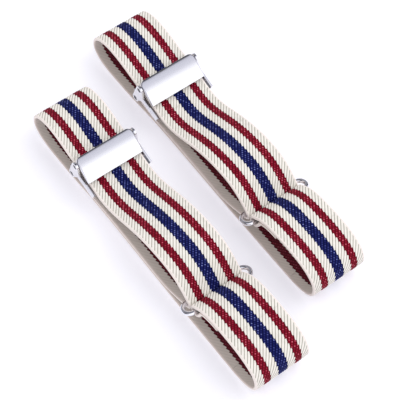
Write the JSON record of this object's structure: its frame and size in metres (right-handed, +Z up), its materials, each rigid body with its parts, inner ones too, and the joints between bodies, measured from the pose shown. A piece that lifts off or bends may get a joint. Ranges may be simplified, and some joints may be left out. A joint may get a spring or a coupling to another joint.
{
  "type": "sleeve garters",
  "caption": "Elastic armbands of striped webbing, each a closed loop with a wire ring and a chrome lever slide to set its length.",
  "frame": {"origin": "on the table, under the middle of the pair as it lies", "axes": "+X along the bands from their slides towards their rings, +Y across from band a to band b, +Z up"},
  "size_m": [0.1642, 0.0742, 0.0196],
  "materials": {
    "webbing": "woven",
    "thread": "matte",
    "chrome": "polished"
  },
  "bodies": {
    "band_a": {"strap_ring_end_a": "webbing", "strap_right_fold_a": "webbing", "strap_base_run_a": "webbing", "strap_left_fold_a": "webbing", "strap_left_run_a": "webbing", "strap_front_run_a": "webbing", "strap_hump_a": "webbing", "strap_return_run_a": "webbing", "stitching_ring_end_a": "thread"},
    "slide_a": {"slide_body_a": "chrome", "lever_pin_a": "chrome", "strap_bar_a": "chrome", "strap_in_slide_a": "webbing", "strap_slide_end_a": "webbing", "stitching_slide_end_a": "thread"},
    "lever_a": {"lever_a": "chrome"},
    "ring_a": {"ring_a": "chrome"},
    "band_b": {"strap_ring_end_b": "webbing", "strap_right_fold_b": "webbing", "strap_base_run_b": "webbing", "strap_left_fold_b": "webbing", "strap_left_run_b": "webbing", "strap_front_run_b": "webbing", "strap_hump_b": "webbing", "strap_return_run_b": "webbing", "stitching_ring_end_b": "thread"},
    "slide_b": {"slide_body_b": "chrome", "lever_pin_b": "chrome", "strap_bar_b": "chrome", "strap_in_slide_b": "webbing", "strap_slide_end_b": "webbing", "stitching_slide_end_b": "thread"},
    "lever_b": {"lever_b": "chrome"},
    "ring_b": {"ring_b": "chrome"}
  },
  "joints": [
    {"name": "slide_travel_a", "type": "slide", "parent": "band_a", "child": "slide_a", "axis": [1, 0, 0], "range_m": [-0.004, 0.01], "deforming": ["strap_left_run_a", "strap_front_run_a", "strap_return_run_a"]},
    {"name": "lever_hinge_a", "type": "hinge", "parent": "slide_a", "child": "lever_a", "pos_m": [-0.03139, -0.02075, 0.01646], "axis": [0, -1, 0], "range_deg": [0, 80]},
    {"name": "ring_shift_a", "type": "slide", "parent": "band_a", "child": "ring_a", "axis": [0, 1, 0], "range_m": [-0.0008, 0.0008]},
    {"name": "pair_apart", "type": "slide", "parent": "band_a", "child": "band_b", "axis": [0, 1, 0], "range_m": [0, 0.12]},
    {"name": "slide_travel_b", "type": "slide", "parent": "band_b", "child": "slide_b", "axis": [1, 0, 0], "range_m": [-0.004, 0.01], "deforming": ["strap_left_run_b", "strap_front_run_b", "strap_return_run_b"]},
    {"name": "lever_hinge_b", "type": "hinge", "parent": "slide_b", "child": "lever_b", "pos_m": [-0.04639, 0.02075, 0.01646], "axis": [0, -1, 0], "range_deg": [0, 80]},
    {"name": "ring_shift_b", "type": "slide", "parent": "band_b", "child": "ring_b", "axis": [0, 1, 0], "range_m": [-0.0008, 0.0008]}
  ]
}
